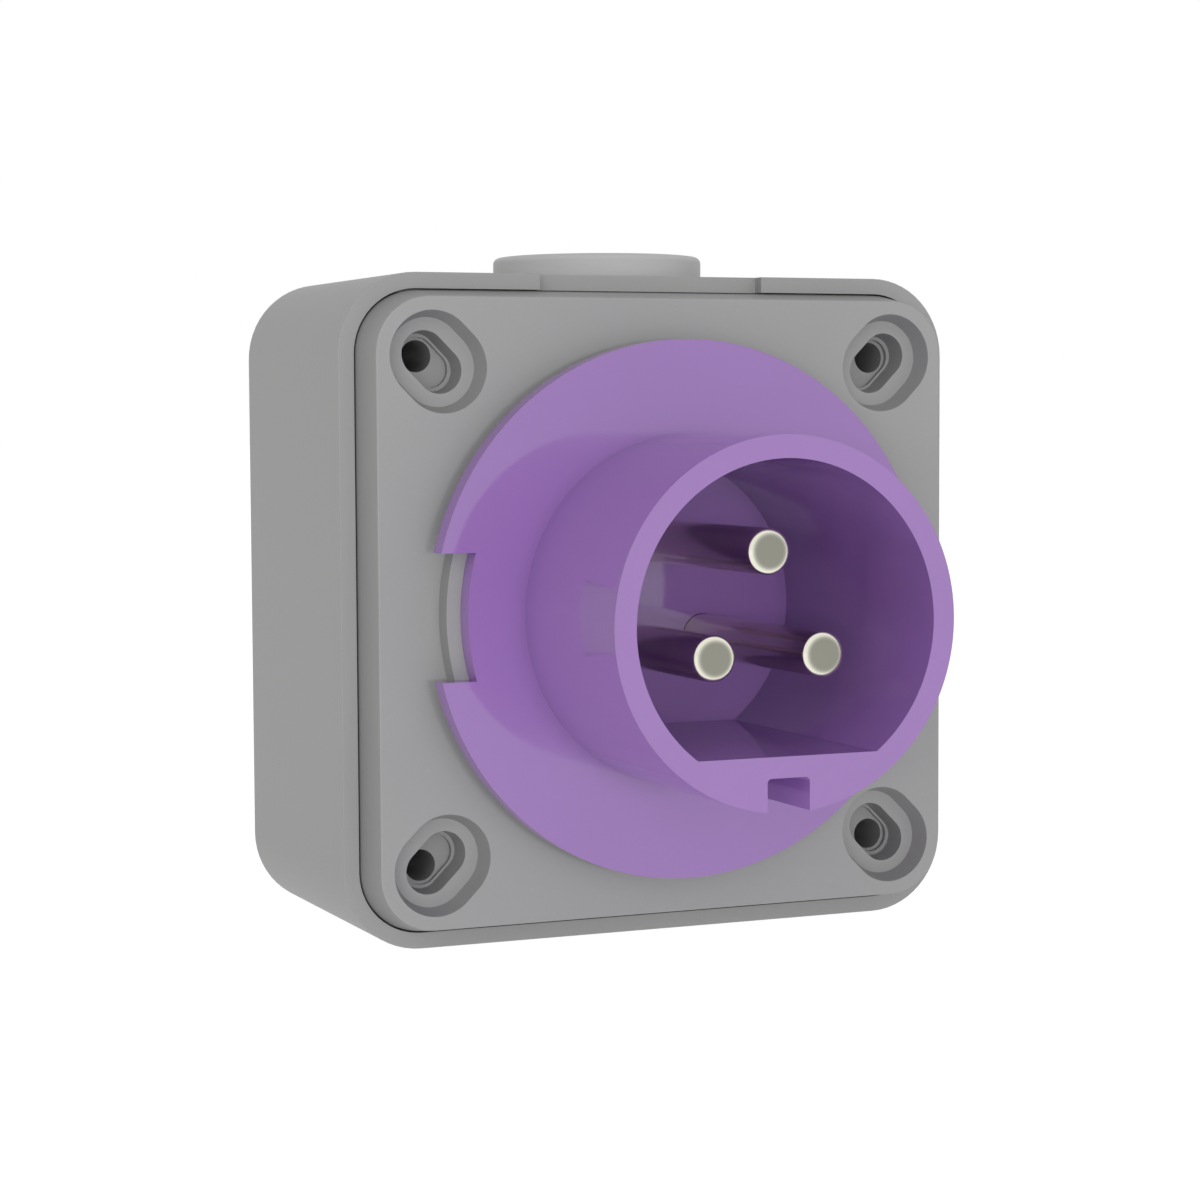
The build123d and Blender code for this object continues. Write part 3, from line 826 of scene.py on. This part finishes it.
class WALLINLET_OT_inlet(InletOperator, bpy.types.Operator):
    """Models the violet inlet: collar, keyway, notched flange, pin carrier and rear tube"""

    bl_idname = "wall_inlet.inlet_body"
    bl_label = "Inlet Body"

    def make(self, scene):
        s = scene.inlet_body_sizes
        pins = scene.inlet_pin_sizes
        rim, tail = INLET_LOW.y, INLET_HIGH.y
        seat = COVER_LOW.y
        flange = seat - s.flange_thickness
        neck = CLAMP_FRONT - s.neck_gap
        floor = rim + s.cavity_depth
        carrier = CARRIER_BACK
        groove = seat - s.seal_depth

        bm = bmesh.new()
        lathe(bm, [
            (0.0, rim), (s.collar_radius, rim), (s.collar_radius, flange),
            (s.flange_radius, flange), (s.flange_radius, seat), (s.seal_outer, seat),
            (s.seal_outer, groove),
            (s.seal_inner, groove), (s.seal_inner, seat), (s.neck_radius, seat),
            (s.neck_radius, neck), (s.collar_radius, neck), (s.collar_radius, tail),
            (s.collar_radius - s.rear_wall, tail), (s.collar_radius - s.rear_wall, carrier),
            (0.0, carrier),
        ], COLLAR_STEPS)
        body = to_object(bm, "inlet_moulding")

        def socket(t):
            bar(t, s.collar_radius - s.collar_wall, rim - PAST, floor, COLLAR_STEPS)
            cut = bmesh.ops.bisect_plane(t, geom=t.verts[:] + t.edges[:] + t.faces[:],
                                         plane_co=(0.0, 0.0, -s.flat_height),
                                         plane_no=(0.0, 0.0, -1.0), clear_outer=True)
            loop = [e for e in cut["geom_cut"] if isinstance(e, bmesh.types.BMEdge)]
            bmesh.ops.holes_fill(t, edges=loop)

        def keyway(t):
            deep = -(s.collar_radius - s.key_depth)
            block(t, (-s.key_width / 2, rim - PAST, deep - 2 * s.key_depth),
                  (s.key_width / 2, flange, deep))
            corners = [e for e in t.edges if all(abs(v.co.z - deep) < SAME for v in e.verts)
                       and abs(e.verts[0].co.x - e.verts[1].co.x) < SAME]
            bmesh.ops.bevel(t, geom=corners, affect="EDGES", offset=s.key_corner, segments=5,
                            profile=0.5, material=-1)

        carve(body, socket)
        carve(body, keyway)
        carve(body, lambda t: notched_ring(t, s, flange, seat))
        step = floor + pins.seat_drop
        for radius, near, far in (
            (pins.radius + pins.seat_step, step, carrier + PAST),
            (pins.radius, floor - PAST, step + PAST),
            (pins.shoulder_radius, carrier - pins.shoulder_length, carrier + PAST),
        ):
            carve(body, lambda t: bars(t, pin_places(pins.circle), radius + pins.fit, near, far,
                                       POST_STEPS))

        def screw_holes(t):
            bars(t, pin_places(s.retainer_circle, 180.0), s.retainer_hole,
                 carrier - s.screw_bite, carrier + PAST, SCREW_HOLE_STEPS)
            bars(t, ring_places(s.clamp_circle, 4, 45.0), s.clamp_hole,
                 neck - s.screw_bite, neck + PAST, SCREW_HOLE_STEPS)

        carve(body, screw_holes)

        def outer_edge(e):
            return at_depth(e, flange) and reach(e) > s.notch_radius + NEAR

        def pin_edge(e):
            return at_depth(e, floor) and reach(e) < pins.circle + 2 * pins.radius

        finish_piece(body, "inlet_body", "violet_plastic", s.soft_edge,
                     [(s.flange_edge, outer_edge), (s.pin_edge, pin_edge)])


def notched_ring(bm, s, flange, seat):
    """The two blocks that cut the flange's notches: a ring trimmed to the notches' width."""
    far = 2 * s.flange_radius
    front, rear = flange - PAST, seat + PAST
    lathe(bm, [(s.notch_radius, front), (far, front), (far, rear), (s.notch_radius, rear),
               (s.notch_radius, front)], COLLAR_STEPS)
    bmesh.ops.remove_doubles(bm, verts=bm.verts, dist=WELD)
    for side in (-1, 1):
        cut = bmesh.ops.bisect_plane(bm, geom=bm.verts[:] + bm.edges[:] + bm.faces[:],
                                     plane_co=(0.0, 0.0, side * s.notch_width / 2),
                                     plane_no=(0.0, 0.0, side), clear_outer=True)
        loop = [e for e in cut["geom_cut"] if isinstance(e, bmesh.types.BMEdge)]
        bmesh.ops.holes_fill(bm, edges=loop)


def ring_places(radius, count, first):
    angles = [math.radians(first + 360.0 / count * i) for i in range(count)]
    return [(radius * math.cos(a), radius * math.sin(a)) for a in angles]


def pin_places(radius, turned=0.0):
    return ring_places(radius, 3, 90.0 + turned)


class WALLINLET_OT_pins(InletOperator, bpy.types.Operator):
    """Models the three turned pins with rounded tips, seats, shoulders and terminal barrels"""

    bl_idname = "wall_inlet.pins"
    bl_label = "Contact Pins"

    def make(self, scene):
        s = scene.inlet_pin_sizes
        tip, end = PIN_LOW.y, PIN_HIGH.y
        step = INLET_LOW.y + scene.inlet_body_sizes.cavity_depth + s.seat_drop
        carrier = CARRIER_BACK
        shoulder = carrier - s.shoulder_length
        bore = end - s.wire_depth
        for number, (x, z) in enumerate(pin_places(s.circle), 1):
            bm = bmesh.new()
            lathe(bm, [
                (0.0, tip), (s.radius, tip), (s.radius, step), (s.radius + s.seat_step, step),
                (s.radius + s.seat_step, shoulder), (s.shoulder_radius, shoulder),
                (s.shoulder_radius, carrier), (s.barrel_radius, carrier), (s.barrel_radius, end),
                (s.wire_radius, end), (s.wire_radius, bore), (0.0, bore),
            ], PIN_STEPS)
            rim = [e for e in bm.edges if at_depth(e, tip) and reach(e) > s.radius - NEAR]
            bmesh.ops.bevel(bm, geom=rim, affect="EDGES", offset=s.tip_edge, segments=8,
                            profile=0.5, material=-1)
            crown = [v for v in bm.verts if v.co.y < tip + s.tip_edge + SAME]
            bmesh.ops.scale(bm, vec=(1.0, s.tip_flatness, 1.0), verts=crown,
                            space=Matrix.Translation((0.0, -tip, 0.0)))
            bmesh.ops.translate(bm, verts=bm.verts, vec=(x, 0.0, z))
            pin = to_object(bm, f"contact_pin_{number}")
            outward = Vector((x, 0.0, z)).normalized()
            sideways = outward.to_track_quat("Z", "Y").to_matrix().to_4x4()
            start = Vector((x, end - s.screw_setback, z))

            def cross_hole(t):
                made = bmesh.ops.create_circle(t, cap_ends=True, segments=CROSS_HOLE_STEPS,
                                               radius=s.screw_radius,
                                               matrix=Matrix.Translation(start) @ sideways)
                pull(t, made["verts"][0].link_faces[0], outward * 2 * s.barrel_radius)

            carve(pin, cross_hole)
            finish_piece(pin, f"pin_{number}", "nickel_plate", s.soft_edge)


class WALLINLET_OT_plug(InletOperator, bpy.types.Operator):
    """Models the blanking plug with its rounded head, coin slot and threaded shank"""

    bl_idname = "wall_inlet.entry_plug"
    bl_label = "Entry Plug"

    def make(self, scene):
        s = scene.inlet_plug_sizes
        y = (PLUG_LOW.y + PLUG_HIGH.y) / 2
        seat, low, high = BOX_HIGH.z, PLUG_LOW.z, PLUG_HIGH.z
        root = s.shank_radius - s.thread_depth
        bore = s.shank_radius - s.shank_wall

        bm = bmesh.new()
        lathe(bm, [(0.0, high), (s.head_radius, high), (s.head_radius, seat), (root, seat),
                   (root, low), (bore, low), (bore, seat), (0.0, seat)], ENTRY_STEPS, y)
        plug = to_object(bm, "entry_plug_moulding")
        long, thin = s.slot_length / 2, s.slot_width / 2
        carve(plug, lambda t: block(t, (-long, y - thin, high - s.slot_depth),
                                    (long, y + thin, high + PAST)))

        def head_edge(e):
            spot = e.verts[0].co
            level = all(abs(v.co.z - high) < SAME for v in e.verts)
            return level and math.hypot(spot.x, spot.y - y) > s.head_radius - NEAR

        finish_piece(plug, "entry_plug", "plug_grey", s.soft_edge, [(s.edge_radius, head_edge)],
                     segments=5)

        thread = bmesh.new()
        turns = math.floor((seat - low) / s.pitch) - 1
        flat = s.pitch / 8
        inner, outer = root - THREAD_SUNK, s.shank_radius
        start = low + s.pitch / 2
        tooth = [(inner, start - s.pitch / 2 + flat), (outer, start - flat), (outer, start + flat),
                 (inner, start + s.pitch / 2 - flat)]
        face = thread.faces.new([thread.verts.new((r, y, place)) for r, place in tooth])
        bmesh.ops.spin(thread, geom=[face], cent=(0.0, y, 0.0), axis=(0.0, 0.0, 1.0),
                       dvec=(0.0, 0.0, s.pitch / THREAD_STEPS), angle=2 * math.pi * turns,
                       steps=THREAD_STEPS * turns)
        ridge = to_object(thread, "entry_plug_thread")
        ridge.data.materials.append(MATERIALS["plug_grey"])
        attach(ridge, BODY)
        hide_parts("entry_plug")


class WALLINLET_OT_seals(InletOperator, bpy.types.Operator):
    """Dresses the gasket and the two ring seals in rubber"""

    bl_idname = "wall_inlet.seals"
    bl_label = "Seals"

    def make(self, scene):
        for node in ("cover_gasket", "flange_seal", "entry_seal"):
            dress_node(node, "seal_black")


class WALLINLET_OT_fasteners(InletOperator, bpy.types.Operator):
    """Dresses the clamp ring, the retainer plate and every screw"""

    bl_idname = "wall_inlet.fasteners"
    bl_label = "Clamps and Screws"

    def make(self, scene):
        for node in ("clamp_ring", "retainer_plate"):
            dress_node(node, "clamp_grey")
        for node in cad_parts:
            if "_screw_" in node:
                dress_node(node, "screw_steel")


# Each lamp's power setting, width, height and place. All of them face the object.
LAMPS = {
    "Key lamp": ("key_power", 1.0, 1.0, (-1.1, -1.15, 0.7)),
    "Front lamp": ("front_power", 0.2, 0.2, (0.0, -1.6, 0.02)),
    "Wide lamp": ("wide_power", 1.4, 1.4, (-0.3, -1.5, 0.6)),
    "Low lamp": ("low_power", 1.0, 0.15, (-0.8, -1.4, 0.04)),
    "Top lamp": ("top_power", 1.2, 1.2, (0.1, -0.5, 1.5)),
}
FILM_WIDTH = 36.0  # Millimetres, as the lens is
NEAREST = 0.01  # Metres from the camera to the first thing that it sees


class WALLINLET_OT_stage(bpy.types.Operator):
    """Sets up the pale floor, the white room, the soft lamps and the camera"""

    bl_idname = "wall_inlet.stage"
    bl_label = "Stage"

    def execute(self, context):
        scene = context.scene
        s = scene.inlet_stage
        bm = bmesh.new()
        bmesh.ops.create_grid(bm, x_segments=1, y_segments=1, size=s.floor_reach,
                              matrix=Matrix.Translation((0.0, 0.0, BOX_LOW.z)))
        floor = to_object(bm, "Floor")
        floor.data.materials.append(floor_material(s))
        scene.world = white_room(s)
        lamps = [hang_lamp(name, getattr(s, power), *rest)
                 for name, (power, *rest) in LAMPS.items()]
        data = bpy.data.cameras.new("Camera")
        data.lens = s.lens
        data.sensor_width = FILM_WIDTH
        data.clip_start = NEAREST
        camera = bpy.data.objects.new("Camera", data)
        camera.location = s.camera_place
        camera.rotation_euler = s.camera_turn
        scene.collection.objects.link(camera)
        scene.camera = camera
        scene.view_settings.view_transform = "Standard"
        return {"FINISHED"}


def hang_lamp(name, power, width, height, place):
    """A soft rectangular lamp that turns to the object and shows in no reflection."""
    data = bpy.data.lights.new(name, "AREA")
    data.energy = power
    data.shape = "RECTANGLE"
    data.size = width
    data.size_y = height
    lamp = bpy.data.objects.new(name, data)
    lamp.visible_glossy = False
    lamp.location = place
    lamp.rotation_euler = (-Vector(place)).to_track_quat("-Z", "Y").to_euler()
    bpy.context.scene.collection.objects.link(lamp)
    return lamp


def white_room(s):
    """A world that is white to the camera and in reflections, and dimmer as a source of light."""
    g = Graph(bpy.data.worlds.new("White room"), "Background")
    return g.set(Color=(1.0, 1.0, 1.0), Strength=s.ambient + (1.0 - s.ambient) * g.seen())


def floor_material(s):
    """Pale floor: partly self-lit so that it stays white, with room for a soft shadow."""
    g = Graph(bpy.data.materials.new("Floor"), "Principled BSDF")
    surface = Signal(g, g.shader.outputs[0])
    glow = g.add("ShaderNodeEmission", {}, {"Strength": s.floor_glow})
    lit = s.floor_fill + (s.floor_share - s.floor_fill) * g.seen()
    whole = g.add("ShaderNodeMixShader", {}, {0: lit, 1: surface, 2: glow})
    g.feed(g.tree.nodes["Material Output"].inputs["Surface"], whole)
    return g.set(Base_Color=(s.floor_albedo,) * 3, Roughness=0.9, Specular_IOR_Level=0.0)


class WALLINLET_PT_panel(bpy.types.Panel):
    """Lists the operators that build the inlet"""

    bl_label = "Wall Inlet"
    bl_idname = "WALLINLET_PT_panel"
    bl_space_type = "VIEW_3D"
    bl_region_type = "UI"
    bl_category = "Wall Inlet"

    def draw(self, context):
        for operator in OPERATORS:
            self.layout.operator(operator.bl_idname)


OPERATORS = (
    WALLINLET_OT_finishes,
    WALLINLET_OT_box,
    WALLINLET_OT_cover,
    WALLINLET_OT_inlet,
    WALLINLET_OT_pins,
    WALLINLET_OT_plug,
    WALLINLET_OT_seals,
    WALLINLET_OT_fasteners,
    WALLINLET_OT_stage,
)


def register():
    for group in GROUPS.values():
        bpy.utils.register_class(group)
    for name, group in GROUPS.items():
        setattr(bpy.types.Scene, name, bpy.props.PointerProperty(type=group))
    for operator in OPERATORS:
        bpy.utils.register_class(operator)
    bpy.utils.register_class(WALLINLET_PT_panel)


def unregister():
    bpy.utils.unregister_class(WALLINLET_PT_panel)
    for operator in reversed(OPERATORS):
        bpy.utils.unregister_class(operator)
    for name in GROUPS:
        delattr(bpy.types.Scene, name)
    for group in reversed(GROUPS.values()):
        bpy.utils.unregister_class(group)


def main():
    register()
    bpy.ops.wall_inlet.finishes()
    bpy.ops.wall_inlet.back_box()
    bpy.ops.wall_inlet.front_cover()
    bpy.ops.wall_inlet.inlet_body()
    bpy.ops.wall_inlet.pins()
    bpy.ops.wall_inlet.entry_plug()
    bpy.ops.wall_inlet.seals()
    bpy.ops.wall_inlet.fasteners()
    bpy.ops.wall_inlet.stage()


if __name__ == "__main__":
    main()
